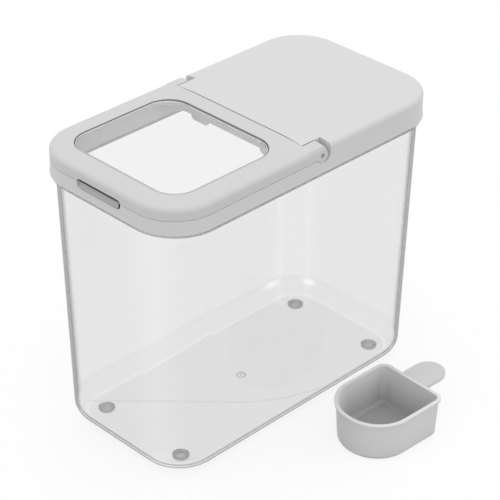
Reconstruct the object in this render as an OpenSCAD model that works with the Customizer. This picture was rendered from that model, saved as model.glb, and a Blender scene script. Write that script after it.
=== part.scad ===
// Rice bin with flip lid: a clear drafted tub, a grey lid whose front half flips up, and a measuring scoop.
// Origin: centre of the underside of the tub's floor. +Z up, the latch faces -Y, the long side lies along Y.
// The feet stand foot_proud lower than the origin.

/* [Lid outline] */
// Length of the lid along Y
lid_len = 330; // [290:1:380]
// Width of the lid along X
lid_width = 180; // [170:1:210]
// Corner radius of the lid seen from above
lid_corner_r = 43.5; // [43:0.5:46]
// Height of the lid's top at its middle
lid_top_z = 281.2; // [240:0.1:330]
// Height of the lid from its band's lower edge to its top
lid_h = 27.2; // [27:0.1:29]
// Height of the flip lid from the parting line to its top
flip_h = 13.3; // [12.8:0.1:13.8]
// Wall of the band and of the flip lid's skirt
lid_wall = 2.4; // [2:0.1:2.8]
// Thickness of the lid's top
top_t = 3; // [2.4:0.1:3.4]
// Radius of the soft edge round the lid's top
edge_r = 4.5; // [3.6:0.1:5.5]
// Radius of the crown that lowers the lid's top towards its edge
crown_r = 312; // [280:1:400]
// Width of the crowned margin
crown_w = 40; // [36:1:42]
// How far the band's lower lip stands out
lip_out = 0.5; // [0.2:0.1:0.8]

/* [Tub] */
// How far the tub's end walls stand inside the lid's outer face
tub_inset_y = 3.7; // [3.5:0.1:4]
// How far the tub's side walls stand inside the lid's outer face
tub_inset_x = 3.4; // [3.2:0.1:4]
// How much smaller the tub's corner radius is than the lid's
tub_corner_less = 0.9; // [0.5:0.1:2]
// How far each wall leans in from the bead down to the floor
tub_draft = 4.9; // [3:0.1:6]
// Radius of the rounded lower edge of the tub
base_r = 17; // [12:0.5:20]
// Wall of the tub
tub_wall = 2.2; // [1.8:0.1:2.6]
// Thickness of the tub's floor
floor_t = 2.6; // [2.2:0.1:3.4]
// How far the bead under the lid stands out from the wall
bead_out = 2; // [1.5:0.1:2.2]
// Height of the bead
bead_h = 2.4; // [2:0.1:3]
// Height of the rim above the bead
rim_h = 3.4; // [2.8:0.1:3.5]

/* [Feet] */
// Diameter of a foot
foot_d = 15.4; // [12:0.2:17]
// Distance of a foot from the side wall's lower edge
foot_side = 32.5; // [28:0.1:50]
// Distance of a front foot from the front wall's lower edge
foot_front = 33.8; // [28:0.1:60]
// Distance of a rear foot from the rear wall's lower edge
foot_rear = 32.2; // [28:0.1:60]
// Depth of a foot's pocket in the floor
foot_pocket = 1; // [0.6:0.1:1.2]
// How far a foot stands proud of the floor
foot_proud = 1.2; // [0.8:0.1:2]

/* [Window] */
// Width of the frame left round the window at the front and the sides
window_border = 21; // [18:0.5:26]
// Distance from the window's rear edge to the flip lid's rear edge
window_rear = 18.2; // [17:0.2:26]
// Corner radius of the window
window_r = 23.8; // [16:0.2:28]
// Thickness of the clear pane
pane_t = 2; // [1.6:0.1:2.4]
// How far the pane reaches under the frame
pane_lap = 5; // [3:0.5:7]

/* [Filler opening] */
// Depth of the ledge that carries the opening below the lid's top
ledge_depth = 19.5; // [19.2:0.1:20.2]
// Thickness of the ledge
ledge_t = 2.1; // [1.6:0.1:2.4]
// How far the plug's inner face stands inside the window's edge at the sides and the front
plug_inset = 1.2; // [0.6:0.1:4]
// Inner corner radius of the plug
plug_r = 8; // [8:0.5:24]
// Wall of the plug
plug_wall = 1.6; // [1.2:0.1:1.8]
// Depth of the filler seal round the plug
seal_t = 1.1; // [0.8:0.1:1.2]
// Clearance between the filler seal and the collar of the opening
seal_gap = 0.3; // [0.25:0.05:0.5]
// Height of the collar round the opening above the ledge
collar_h = 4.3; // [3:0.1:4.6]
// Length of the tabs that hang from the plug's rear wall
tab_drop = 4.4; // [2:0.1:5]
// Width of such a tab
tab_w = 21; // [10:0.5:26]
// Distance between the tabs
tab_gap = 65; // [40:1:80]

/* [Hinge] */
// Distance of the hinge axis behind the flip lid's rear edge
hinge_back = 11.7; // [10.5:0.1:13]
// Depth of the hinge axis below the lid's top
hinge_depth = 10.6; // [9.8:0.1:11]
// Radius of the round end of a hinge arm
arm_r = 6.3; // [5.6:0.1:6.4]
// Width of a hinge arm
arm_w = 12.8; // [10:0.1:14]
// Length of a hinge arm's flat top behind the hinge axis
arm_flat = 2; // [1:0.1:3]
// Gap between the opened arm and the rear wall of its recess
arm_gap = 0.25; // [0.2:0.05:0.8]
// Diameter of a hinge pin
pin_d = 4; // [3:0.1:4.4]
// Running clearance round a hinge pin, on the radius
pin_clear = 0.05; // [0.02:0.01:0.08]
// How deep the pin's end lies in the arm
pin_recess = 1.4; // [0.6:0.1:3]
// Length of pin held in the lid body
pin_hold = 9; // [6:0.5:12]

/* [Latch] */
// Length of the slot in the lid's front face
slot_len = 54.6; // [40:0.2:60]
// Height of the slot
slot_h = 8.6; // [7:0.1:9]
// Gap between the slot and the button
slot_gap = 0.7; // [0.4:0.1:1]
// How far the button stands out of the front face
button_proud = 1.2; // [0.4:0.1:2]
// Travel of the button
button_travel = 2.5; // [1.5:0.1:2.6]
// Outer diameter of a return spring
spring_d = 3.8; // [3:0.1:4]
// Wire of a return spring
spring_wire = 0.5; // [0.4:0.05:0.6]
// Turns of a return spring
spring_turns = 4; // [3:1:4]
// Distance between the return springs
spring_gap = 24; // [20:1:26]

/* [Scoop] */
// Width of the scoop
scoop_width = 73; // [60:1:85]
// Depth of the scoop from its flat back to its round front
scoop_depth = 83; // [70:1:90]
// Height of the scoop
scoop_h = 41; // [30:1:48]
// Wall of the scoop
scoop_wall = 1.6; // [1.2:0.1:2]
// How far the scoop's wall leans in from the rim to the floor
scoop_draft = 1.6; // [1:0.1:2]
// How far the rim lip stands out
scoop_lip = 1.6; // [1:0.1:2]
// Radius of the scoop's lower edge
scoop_base_r = 5; // [3:0.5:5]
// Corner radius at the flat back
scoop_corner_r = 7.5; // [7.5:0.5:12]
// Length of the handle
handle_len = 36; // [20:1:60]
// Width of the handle
handle_w = 30; // [16:1:32]
// Thickness of the handle
handle_t = 3.6; // [2:0.1:4]
// Place of the scoop beside the bin, along X
scoop_x = 153.5; // [150:0.5:260]
// Place of the scoop beside the bin, along Y
scoop_y = 69; // [-80:1:80]
// Turn of the scoop as it stands beside the bin
scoop_turn = -2; // [-10:1:10]

/* [Hidden] */
$fn = 96;
// Length that a cutting shape runs past what it cuts
over = 1;
// Length of a cutting shape that has to clear the whole lid
far = lid_len;
// Clearance between parts that lie on each other and come apart
seat_gap = 0.3;

// Tub outline under its bead, and the heights that follow from the lid's top
tub_len = lid_len - 2 * tub_inset_y;
tub_width = lid_width - 2 * tub_inset_x;
tub_corner_r = lid_corner_r - tub_corner_less;
band_low_z = lid_top_z - lid_h;
parting_z = lid_top_z - flip_h;
ledge_z = lid_top_z - ledge_depth;
hinge_z = lid_top_z - hinge_depth;

// Hinge line and the radius round it that the rear deck's front edge needs
flip_rear_y = -3.2;
hinge_y = flip_rear_y + hinge_back;
deck_front_y = flip_rear_y + seat_gap;
swing_r = norm([hinge_y - deck_front_y, lid_top_z - hinge_z]) + seat_gap;
arm_in_x = lid_width / 2 - arm_w;
recess_in_x = arm_in_x - seat_gap;
arm_top_z = lid_top_z - pow(crown_w - arm_w, 2) / (2 * crown_r);
recess_rear_y = hinge_y + norm([arm_flat, arm_top_z - hinge_z]) + arm_gap;

// Window, pane, plug and opening
pane_drop = pow(crown_w - window_border + pane_lap, 2) / (2 * (crown_r - top_t)) + 0.1;
pane_z = lid_top_z - top_t - pane_t - pane_drop;
window_half_w = lid_width / 2 - window_border;
window_front_y = -lid_len / 2 + window_border;
window_rear_y = flip_rear_y - window_rear;
plug_half_w = window_half_w - plug_inset;
plug_front_y = window_front_y + plug_inset;
plug_rear_y = hinge_y - swing_r - plug_wall - seat_gap;
plug_low_z = ledge_z - 0.6;
frame_t = 1.8;
frame_out = 8;
frame_r = 15;
stake_d = 3.4;
stake_rear_y = (window_rear_y + pane_lap + plug_rear_y) / 2;
stake_clear = 3.2;
stake_beyond_pane = window_half_w - window_r + (window_r + pane_lap + stake_clear) / sqrt(2);
stake_beyond_plug = plug_half_w - plug_r + (plug_r + plug_wall + stake_clear) / sqrt(2);
stake_x = max(stake_beyond_pane, stake_beyond_plug);
stake_front = [stake_x, window_front_y + window_half_w - stake_x];
stake_places = [
    stake_front,
    [-stake_front[0], stake_front[1]],
    [-50, stake_rear_y],
    [0, stake_rear_y],
    [50, stake_rear_y]
];
seal_low_z = plug_low_z + 0.3;
seal_h = 3.2;
opening_out = plug_wall + seal_t + seal_gap;
opening_front_extra = 0.5;
collar_t = 1.6;

// Tub heights
bead_top_z = band_low_z - seat_gap;
bead_low_z = bead_top_z - bead_h;
rim_top_z = bead_top_z + rim_h;
ledge_low_z = ledge_z - ledge_t;

// Rim seal and the skirt behind it
rim_seal_t = ledge_low_z - rim_top_z - seat_gap;
rim_seal_w = 3.6;
skirt_in = tub_wall + 2;
skirt_t = 1.8;
skirt_low_z = band_low_z - 5;

// Latch
slot_z = ledge_z + seat_gap + slot_h / 2;
face_y = -lid_len / 2;
slide_front_y = face_y + lid_wall + button_travel + 0.6;
slide_len = 7.2;
slide_rear_y = slide_front_y + slide_len;
slide_z = ledge_z + seat_gap;
slide_h = 5.4;
slide_half = spring_gap / 2 + 4;
stop_y = plug_front_y - opening_out - opening_front_extra - collar_t;
hook_y = slide_front_y + 1;
hook_t = 1.8;
hook_nose = 1.6;
catch_z = slot_z + slot_h / 2 + 0.9;
catch_t = 2;
cover_t = 1.2;
cover_foot = 5;
cover_pin_d = 2;
cover_front_y = hook_y + hook_t + button_travel + seat_gap;
cover_pin_x = slide_half + seat_gap + cover_t + cover_foot / 2;
cover_pin_y = (cover_front_y + stop_y) / 2;

// Return springs
spring_y = slide_rear_y - 3 + seat_gap;
spring_z = slide_z + slide_h / 2;
spring_len = stop_y - seat_gap - spring_y - spring_wire;
spring_sides = 6;
spring_steps = 10;
echo("least gap between the curls of a return spring, at full travel",
     (spring_len - button_travel) / spring_turns - spring_wire);

clear = [0.93, 0.95, 0.96, 0.35];
grey = [0.83, 0.83, 0.83];
dark = [0.62, 0.62, 0.62];
seal = [0.9, 0.9, 0.9];
steel = [0.55, 0.55, 0.55];

// Rounded rectangle with its long side along Y
module rounded(len, wid, r) {
    square([wid, len - 2 * r], center = true);
    square([wid - 2 * r, len], center = true);
    for (x = [-1, 1], y = [-1, 1]) translate([x * (wid / 2 - r), y * (len / 2 - r)]) circle(r);
}

// Rounded rectangle given by its half width and its front and rear edges
module rounded_span(half_w, front_y, rear_y, r) {
    translate([0, (front_y + rear_y) / 2]) rounded(rear_y - front_y, 2 * half_w, r);
}

// Sweeps a 2D section round a rounded rectangle. The section's X is 0 on the outline and negative inwards.
module sweep(len, wid, r) {
    for (a = [0, 1], b = [0, 1]) mirror([a, 0, 0]) mirror([0, b, 0]) {
        translate([wid / 2 - r, len / 2 - r, 0]) rotate_extrude(angle = 90) translate([r, 0]) children();
        translate([wid / 2 - r, len / 2 - r, 0]) rotate([90, 0, 0])
            linear_extrude(len / 2 - r + over) translate([r, 0]) children();
        translate([wid / 2 - r, len / 2 - r, 0]) rotate([90, 0, -90]) mirror([1, 0, 0])
            linear_extrude(wid / 2 - r + over) translate([r, 0]) children();
    }
}

// Section of a wall with a crowned top: everything inside the skin that lies inset in from the lid's outer face
module crowned(inset, low_z, top_z, crown) {
    r = edge_r - inset;
    mid_x = -crown_w;
    mid_z = top_z - crown;
    side_z = mid_z + sqrt(pow(crown - r, 2) - pow(crown_w - inset - r, 2));
    meet_x = mid_x + (crown_w - inset - r) * crown / (crown - r);
    translate([meet_x - over, low_z]) square([over - inset - meet_x, side_z - low_z]);
    translate([-inset - r, side_z]) circle(r);
    intersection() {
        translate([mid_x, mid_z]) circle(crown, $fn = 360);
        translate([mid_x, low_z]) square([meet_x - mid_x, top_z - low_z + over]);
    }
    polygon([[mid_x - over, low_z], [mid_x, low_z], [mid_x, top_z], [mid_x - over, top_z]]);
}

// Shell of the lid's upper part, from low_z to the crowned top
module lid_shell(low_z) {
    sweep(lid_len, lid_width, lid_corner_r) difference() {
        crowned(0, low_z, lid_top_z, crown_r);
        crowned(lid_wall, low_z - over, lid_top_z - top_t, crown_r - top_t);
    }
    translate([0, 0, lid_top_z - top_t]) linear_extrude(top_t)
        rounded(lid_len - 2 * crown_w - over, lid_width - 2 * crown_w - over, lid_corner_r - crown_w - over / 2);
}

// Box from one corner to the opposite one
module span(a, b) {
    translate(a) cube(b - a);
}

// Tub: the skin of the wall as a section, inset from the outer face
module tub_skin(inset, low_z, top_z) {
    r = base_r - inset;
    lean = atan(tub_draft / bead_low_z);
    foot_x = -tub_draft - inset / cos(lean) + base_r * tan(lean) - r / cos(lean);
    translate([foot_x, low_z + r]) circle(r);
    polygon([
        [-tub_draft - base_r - inset - 5 * over, low_z],
        [foot_x, low_z],
        [foot_x + r * cos(lean), low_z + r - r * sin(lean)],
        [-inset / cos(lean), top_z],
        [-tub_draft - base_r - inset - 5 * over, top_z]
    ]);
}

module tub() {
    gate_d = 9;
    core_x = tub_draft + base_r + 3 * over;
    color(clear) difference() {
        union() {
            sweep(tub_len, tub_width, tub_corner_r) intersection() {
                union() {
                    difference() {
                        tub_skin(0, 0, bead_low_z);
                        tub_skin(tub_wall, floor_t, bead_low_z + over);
                    }
                    translate([-tub_wall, bead_low_z]) square([tub_wall + bead_out - 0.4, bead_h]);
                    translate([-tub_wall, bead_low_z + 0.4]) square([tub_wall + bead_out, bead_h - 0.8]);
                    translate([-tub_wall, bead_low_z]) square([tub_wall, rim_top_z - bead_low_z]);
                }
                translate([-core_x, -over]) square([core_x + bead_out + over, rim_top_z + 2 * over]);
            }
            linear_extrude(floor_t)
                rounded(tub_len - 2 * core_x + over, tub_width - 2 * core_x + over, tub_corner_r - core_x + over / 2);
        }
        for (f = foot_places) translate([f[0], f[1], -over])
            cylinder(d = foot_d + 2 * foot_fit, h = foot_pocket + over);
        translate([0, 0, -over]) difference() {
            cylinder(d = gate_d, h = over + 0.4);
            cylinder(d = gate_d / 2, h = over + 0.4);
        }
    }
}

// Feet: a turned pad with a shallow ring on its sole
foot_fit = 0.15;
foot_x = tub_width / 2 - tub_draft - foot_side;
foot_places = [
    [-foot_x, -tub_len / 2 + tub_draft + foot_front],
    [foot_x, -tub_len / 2 + tub_draft + foot_front],
    [-foot_x, tub_len / 2 - tub_draft - foot_rear],
    [foot_x, tub_len / 2 - tub_draft - foot_rear]
];

module foot(i) {
    h = foot_pocket + foot_proud;
    r = foot_d / 2;
    soft = 0.6;
    color(dark) translate([foot_places[i][0], foot_places[i][1], -foot_proud])
        rotate_extrude() difference() {
            union() {
                square([r - soft, h]);
                translate([0, soft]) square([r, h - soft]);
                translate([r - soft, soft]) circle(soft, $fn = 32);
            }
            translate([r * 0.5, -over]) square([r * 0.14, over + 0.5]);
        }
}

// Side view of the recess that takes a hinge arm
module recess_profile() {
    corner = 6;
    low_z = hinge_z - arm_r - seat_gap;
    translate([hinge_y, hinge_z]) circle(arm_r + seat_gap);
    translate([hinge_y, low_z]) square([recess_rear_y - hinge_y - corner, far]);
    translate([hinge_y, low_z + corner]) square([recess_rear_y - hinge_y, far]);
    translate([recess_rear_y - corner, low_z + corner]) circle(corner);
    translate([flip_rear_y - over, parting_z]) square([hinge_y - flip_rear_y + over, far]);
}

module lid_body() {
    cheek_t = 2.2;
    cheek_x = recess_in_x - cheek_t;
    color(grey) difference() {
        union() {
            // Band with its lip, the ledge, and the rear deck
            sweep(lid_len, lid_width, lid_corner_r) polygon([
                [-lid_wall, band_low_z], [lip_out, band_low_z], [lip_out, band_low_z + 2], [0, band_low_z + 4],
                [0, parting_z - seat_gap], [-lid_wall, parting_z - seat_gap]
            ]);
            translate([0, 0, ledge_low_z]) linear_extrude(ledge_t) difference() {
                rounded(lid_len - lid_wall, lid_width - lid_wall, lid_corner_r - lid_wall / 2);
                filler_outline(opening_out);
                rear_outline();
            }
            intersection() {
                lid_shell(parting_z - seat_gap - over / 2);
                union() {
                    span([-lid_width, hinge_y, band_low_z], [lid_width, lid_len, lid_top_z + over]);
                    translate([-recess_in_x, hinge_y, hinge_z]) rotate([0, 90, 0])
                        cylinder(r = swing_r - seat_gap, h = 2 * recess_in_x, $fn = 180);
                }
            }
            // Riser from the ledge up to the deck, and the walls round the hinge recesses
            span([-cheek_x, deck_front_y, ledge_low_z],
                 [cheek_x, deck_front_y + cheek_t, lid_top_z - top_t / 2]);
            for (s = [0, 1]) mirror([s, 0, 0]) {
                intersection() {
                    span([cheek_x, deck_front_y, ledge_low_z],
                         [lid_width / 2 - lid_wall / 2, recess_rear_y + cheek_t, lid_top_z - top_t]);
                    union() {
                        span([cheek_x, deck_front_y, ledge_low_z],
                             [recess_in_x, recess_rear_y + cheek_t, lid_top_z]);
                        span([cheek_x, recess_rear_y, ledge_low_z],
                             [lid_width / 2, recess_rear_y + cheek_t, lid_top_z]);
                        span([cheek_x, deck_front_y, ledge_low_z],
                             [lid_width / 2, recess_rear_y + cheek_t, hinge_z]);
                    }
                }
                translate([recess_in_x - pin_hold, hinge_y, hinge_z]) rotate([0, 90, 0])
                    cylinder(d = pin_d + 5, h = pin_hold - over / 2);
            }
            // Collar round the filler opening
            translate([0, 0, ledge_low_z]) linear_extrude(ledge_t + collar_h) difference() {
                filler_outline(opening_out + collar_t);
                filler_outline(opening_out);
            }
            // Skirt that stands inside the tub's rim, and the stop of the latch springs
            sweep(tub_len, tub_width, tub_corner_r)
                translate([-skirt_in - skirt_t, skirt_low_z]) square([skirt_t, ledge_z - skirt_low_z - 0.4]);
            span([-slide_half, stop_y, ledge_low_z], [slide_half, stop_y + collar_t, slide_z + slide_h]);
            for (x = [-1, 1]) translate([x * cover_pin_x, cover_pin_y, ledge_low_z])
                cylinder(d = cover_pin_d, h = ledge_t + cover_t + 0.6);
        }
        for (s = [0, 1]) mirror([s, 0, 0]) {
            translate([recess_in_x, 0, 0]) rotate([90, 0, 90]) linear_extrude(arm_w + 2) recess_profile();
            translate([recess_in_x - pin_hold, hinge_y, hinge_z]) rotate([0, 90, 0])
                cylinder(d = pin_d, h = pin_hold + over);
        }
        slot_cut(parting_z);
    }
}

// Outline of the filler opening, grown outwards from the inside of the plug
module filler_outline(grow) {
    front_extra = grow > plug_wall + seal_t ? opening_front_extra : 0;
    rounded_span(plug_half_w + grow, plug_front_y - grow - front_extra, plug_rear_y + grow, plug_r + grow);
}

// Outline of the gap in the ledge under the rear deck
module rear_outline() {
    margin = 15;
    rounded_span(lid_width / 2 - margin, recess_rear_y + 6, lid_len / 2 - margin, lid_corner_r - margin);
}

// The long slot in the front face, shared by the lid body and the flip lid
module slot_cut(z) {
    translate([0, face_y - over, slot_z]) rotate([-90, 0, 0]) linear_extrude(lid_wall + 1.6 + over) slot_outline(0);
}

// Slot outline with round ends, drawn in the front face and shrunk by inset
module slot_outline(inset) {
    r = slot_h / 2 - inset;
    half = slot_len / 2 - slot_h / 2;
    square([2 * half, 2 * r], center = true);
    for (x = [-1, 1]) translate([x * half, 0]) circle(r);
}

module rim_seal() {
    foot = (rim_seal_w - 1.2) / 2;
    color(seal) sweep(tub_len, tub_width, tub_corner_r) translate([-tub_wall / 2 - rim_seal_w / 2, 0]) {
        translate([0, rim_top_z + seat_gap + 0.7]) square([rim_seal_w, rim_seal_t - 0.7]);
        translate([foot, rim_top_z + seat_gap]) square([1.2, 0.7 + 0.01]);
    }
}

module flip_lid() {
    catch_half = 12;
    color(grey) difference() {
        union() {
            // The shell in front, and the hinge arms that carry its outer form back to their round ends
            intersection() {
                union() {
                    lid_shell(hinge_z - arm_r - over);
                    for (s = [0, 1]) mirror([s, 0, 0])
                        span([arm_in_x, flip_rear_y - 4, hinge_z - arm_r - over],
                             [lid_width / 2 - lid_wall / 2, lid_len / 4, arm_top_z - top_t / 2]);
                }
                union() {
                    span([-lid_width, -lid_len, parting_z], [lid_width, flip_rear_y - 4, lid_top_z + over]);
                    span([-arm_in_x - over, flip_rear_y - 6, parting_z],
                         [arm_in_x + over, flip_rear_y, lid_top_z + over]);
                    for (s = [0, 1]) mirror([s, 0, 0]) translate([arm_in_x, 0, 0]) rotate([90, 0, 90])
                        linear_extrude(arm_w + over) arm_profile();
                }
            }
            // Flat seat for the pane round the window, and the stakes that hold the frame and the pane
            translate([0, 0, pane_z + pane_t]) linear_extrude(pane_drop + top_t / 2) pane_outline();
            for (p = stake_places) translate([p[0], p[1], pane_z - frame_t - 0.8]) {
                cylinder(d = stake_d, h = frame_t + pane_t + pane_drop + top_t / 2);
                cylinder(d = stake_d + 1.8, h = 0.8);
            }
            // Catch that the latch hook holds
            span([-catch_half, face_y + lid_wall / 2, catch_z],
                 [catch_half, hook_y - hook_nose - seat_gap, catch_z + catch_t]);
        }
        translate([0, 0, lid_top_z - 3 * top_t]) linear_extrude(3 * top_t + over)
            rounded_span(window_half_w, window_front_y, window_rear_y, window_r);
        translate([-arm_in_x, hinge_y, hinge_z]) rotate([0, 90, 0])
            cylinder(r = swing_r, h = 2 * arm_in_x, $fn = 180);
        for (s = [0, 1]) mirror([s, 0, 0]) translate([arm_in_x - over, hinge_y, hinge_z]) rotate([0, 90, 0])
            cylinder(r = pin_d / 2 + pin_clear, h = arm_w + 2 * over);
        slot_cut(parting_z);
    }
}

// Side view of a hinge arm: round about the hinge axis, chamfered above it
module arm_profile() {
    top_y = hinge_y + arm_flat;
    translate([hinge_y, hinge_z]) circle(arm_r);
    polygon([
        [flip_rear_y - 6, parting_z],
        [hinge_y - arm_r + 0.6, parting_z],
        [hinge_y, hinge_z],
        [hinge_y + arm_r * cos(20), hinge_z + arm_r * sin(20)],
        [top_y, arm_top_z],
        [top_y, lid_top_z + over],
        [flip_rear_y - 6, lid_top_z + over]
    ]);
}

module window_pane() {
    color(clear) translate([0, 0, pane_z]) linear_extrude(pane_t) pane_outline();
}

// Outline of the pane
module pane_outline() {
    rounded_span(window_half_w + pane_lap, window_front_y - pane_lap, window_rear_y + pane_lap,
                 window_r + pane_lap);
}

// Window frame: a plate under the pane and the plug that hangs into the filler opening
module window_frame() {
    z = pane_z;
    color(grey) {
        difference() {
            union() {
                translate([0, 0, z - frame_t]) linear_extrude(frame_t)
                    rounded_span(plug_half_w + frame_out, plug_front_y - frame_out, plug_rear_y + plug_wall,
                                 frame_r);
                translate([0, 0, plug_low_z]) linear_extrude(z - frame_t / 2 - plug_low_z)
                    filler_outline(plug_wall);
                for (s = [-1, 1]) translate([s * (tab_gap + tab_w) / 2, plug_rear_y, plug_low_z])
                    rotate([-90, 0, 0]) linear_extrude(plug_wall) tab_outline();
            }
            translate([0, 0, plug_low_z - over]) linear_extrude(z - frame_t - plug_low_z + over)
                filler_outline(0);
            translate([0, 0, z - frame_t - over]) linear_extrude(frame_t + 2 * over)
                rounded_span(plug_half_w, plug_front_y, window_rear_y + 1.2, plug_r);
            for (p = stake_places) translate([p[0], p[1], z - frame_t - over])
                cylinder(d = stake_d + 0.2, h = frame_t + 2 * over);
        }
    }
}

// A hanging tab with bevelled corners, drawn downwards
module tab_outline() {
    bevel = 2.4;
    polygon([
        [-tab_w / 2, -1], [tab_w / 2, -1], [tab_w / 2, tab_drop - bevel],
        [tab_w / 2 - bevel, tab_drop], [-tab_w / 2 + bevel, tab_drop], [-tab_w / 2, tab_drop - bevel]
    ]);
}

module filler_seal() {
    color(seal) translate([0, 0, seal_low_z]) linear_extrude(seal_h) difference() {
        filler_outline(plug_wall + seal_t);
        filler_outline(plug_wall);
    }
}

module hinge_pin(side) {
    len = pin_hold + arm_w - pin_recess;
    soft = 0.4;
    color(steel) mirror([side < 0 ? 1 : 0, 0, 0])
        translate([recess_in_x - pin_hold, hinge_y, hinge_z]) rotate([0, 90, 0]) {
            cylinder(d = pin_d, h = len);
            translate([0, 0, len]) cylinder(d1 = pin_d, d2 = pin_d - 2 * soft, h = soft);
        }
}

// Latch button: the bar in the slot, its slide on the ledge and the hook behind the flip lid's skirt
module latch_button() {
    hook_half = 9;
    nose_z = catch_z + catch_t + seat_gap;
    soft = 0.8;
    color(dark) difference() {
        union() {
            translate([0, face_y - button_proud + soft, slot_z]) rotate([-90, 0, 0])
                linear_extrude(slide_front_y - face_y + button_proud - soft) slot_outline(slot_gap);
            translate([0, face_y - button_proud, slot_z]) rotate([-90, 0, 0])
                linear_extrude(2 * soft) slot_outline(slot_gap + soft);
            span([-slide_half, slide_front_y - over, slide_z], [slide_half, slide_rear_y, slide_z + slide_h]);
            span([-hook_half, hook_y, slide_z], [hook_half, hook_y + hook_t, nose_z + 2.3]);
            translate([-hook_half, hook_y, nose_z]) rotate([90, 0, 90]) linear_extrude(2 * hook_half)
                polygon([[hook_t / 2, 0], [-hook_nose, 0], [-hook_nose, 0.6], [0, 2.3], [hook_t / 2, 2.3]]);
        }
        for (s = [-1, 1]) translate([s * spring_gap / 2, spring_y - seat_gap, spring_z]) rotate([-90, 0, 0])
            cylinder(d = spring_d + 0.4, h = slide_rear_y - spring_y + seat_gap + over);
        for (s = [0, 1]) mirror([s, 0, 0])
            span([slide_half + 2, face_y + 1.2, slot_z - 2], [slot_len / 2 - slot_h / 2, slide_front_y + over, slot_z + 2]);
    }
}

// Return spring: one round wire wound as a helix along Y
function spring_ring(t) =
    let (a = 360 * spring_turns * t, r = (spring_d - spring_wire) / 2)
    [for (k = [0 : spring_sides - 1])
        let (b = 360 * k / spring_sides, rr = r + spring_wire / 2 * cos(b))
        [rr * cos(a), spring_wire / 2 + spring_len * t + spring_wire / 2 * sin(b), rr * sin(a)]];

module latch_spring(side) {
    n = spring_turns * spring_steps;
    points = [for (i = [0 : n], p = spring_ring(i / n)) p];
    walls = [for (i = [0 : n - 1], k = [0 : spring_sides - 1])
        let (a = i * spring_sides + k, b = i * spring_sides + (k + 1) % spring_sides)
        each [[a, b, b + spring_sides], [a, b + spring_sides, a + spring_sides]]];
    caps = [for (k = [1 : spring_sides - 2]) each [
        [0, k + 1, k],
        [n * spring_sides, n * spring_sides + k, n * spring_sides + k + 1]]];
    color(steel) translate([side * spring_gap / 2, spring_y, spring_z])
        polyhedron(points, concat(walls, caps));
}

// Latch cover: a bridge over the rear of the slide and the springs, with two feet on locating pins
module latch_cover() {
    half = slide_half + seat_gap;
    high = slide_z + slide_h + seat_gap;
    color(grey) difference() {
        union() {
            span([-half - cover_t, cover_front_y, ledge_z], [half + cover_t, stop_y, high + cover_t]);
            span([-half - cover_t - cover_foot, cover_front_y, ledge_z],
                 [half + cover_t + cover_foot, stop_y, ledge_z + cover_t]);
        }
        span([-half, face_y, ledge_z - over], [half, stop_y + over, high]);
        for (x = [-1, 1]) translate([x * cover_pin_x, cover_pin_y, ledge_z - over])
            cylinder(d = cover_pin_d + 0.2, h = cover_t + 2 * over);
    }
}

// Sweeps a 2D section round the scoop's outline: flat back at Y = 0, round front. The section's X is 0 on the wall.
module scoop_sweep() {
    half = scoop_width / 2;
    r = scoop_corner_r;
    straight = scoop_depth - half;
    translate([0, -straight, 0]) rotate(180) rotate_extrude(angle = 180) translate([half, 0]) children();
    for (s = [0, 1]) mirror([s, 0, 0]) {
        translate([half - r, -r, 0]) rotate_extrude(angle = 90) translate([r, 0]) children();
        translate([half - r, -r, 0]) rotate([90, 0, 0]) linear_extrude(straight - r) translate([r, 0]) children();
    }
    rotate(90) translate([-r, half - r, 0]) rotate([90, 0, 0])
        linear_extrude(scoop_width - 2 * r) translate([r, 0]) children();
}

// Outline of the scoop grown outwards from its wall
module scoop_outline(grow) {
    half = scoop_width / 2 + grow;
    r = scoop_corner_r + grow;
    straight = scoop_depth - scoop_width / 2;
    translate([0, -straight]) circle(half);
    translate([-half, -straight]) square([2 * half, straight - scoop_corner_r]);
    translate([-half + r, -straight]) square([2 * half - 2 * r, straight + grow]);
    for (s = [-1, 1]) translate([s * (half - r), -scoop_corner_r]) circle(r);
}

// Section inside the scoop's skin, inset from its outer face
module scoop_skin(inset, top_z) {
    r = scoop_base_r - inset;
    lean = atan(scoop_draft / scoop_h);
    core_x = scoop_draft + scoop_base_r;
    mid_x = -scoop_draft - inset / cos(lean) + scoop_base_r * tan(lean) - r / cos(lean);
    translate([mid_x, inset + r]) circle(r);
    polygon([
        [-core_x - over, inset],
        [mid_x, inset],
        [mid_x + r * cos(lean), inset + r - r * sin(lean)],
        [-inset / cos(lean), top_z],
        [-core_x - over, top_z]
    ]);
}

// Scoop: drafted cup with a rolled lip and a flat handle on a ribbed root
module scoop() {
    core_x = scoop_draft + scoop_base_r;
    lip_h = 2;
    lip_edge = 0.4;
    root_h = 5;
    root_margin = 3;
    color(grey) translate([scoop_x, scoop_y, -foot_proud]) rotate(scoop_turn) {
        union() {
            scoop_sweep() intersection() {
                union() {
                    difference() {
                        scoop_skin(0, scoop_h);
                        scoop_skin(scoop_wall, scoop_h + over);
                    }
                    translate([-scoop_wall / 2, scoop_h - lip_h])
                        square([scoop_wall / 2 + scoop_lip - lip_edge, lip_h]);
                    translate([-scoop_wall / 2, scoop_h - lip_h + lip_edge])
                        square([scoop_wall / 2 + scoop_lip, lip_h - 2 * lip_edge]);
                }
                translate([-core_x, -over]) square([core_x + scoop_lip + over, scoop_h + 2 * over]);
            }
            linear_extrude(scoop_wall) scoop_outline(-core_x);
            translate([0, 0, scoop_h - handle_t]) linear_extrude(handle_t) {
                translate([-handle_w / 2, -scoop_wall / 2])
                    square([handle_w, handle_len - handle_w / 2 + scoop_wall / 2]);
                translate([0, handle_len - handle_w / 2]) circle(handle_w / 2);
            }
            translate([-handle_w / 2 + root_margin, -scoop_wall / 2, scoop_h - handle_t - root_h])
                cube([handle_w - 2 * root_margin, scoop_wall / 2 + root_margin, root_h + over]);
        }
    }
}

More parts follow.
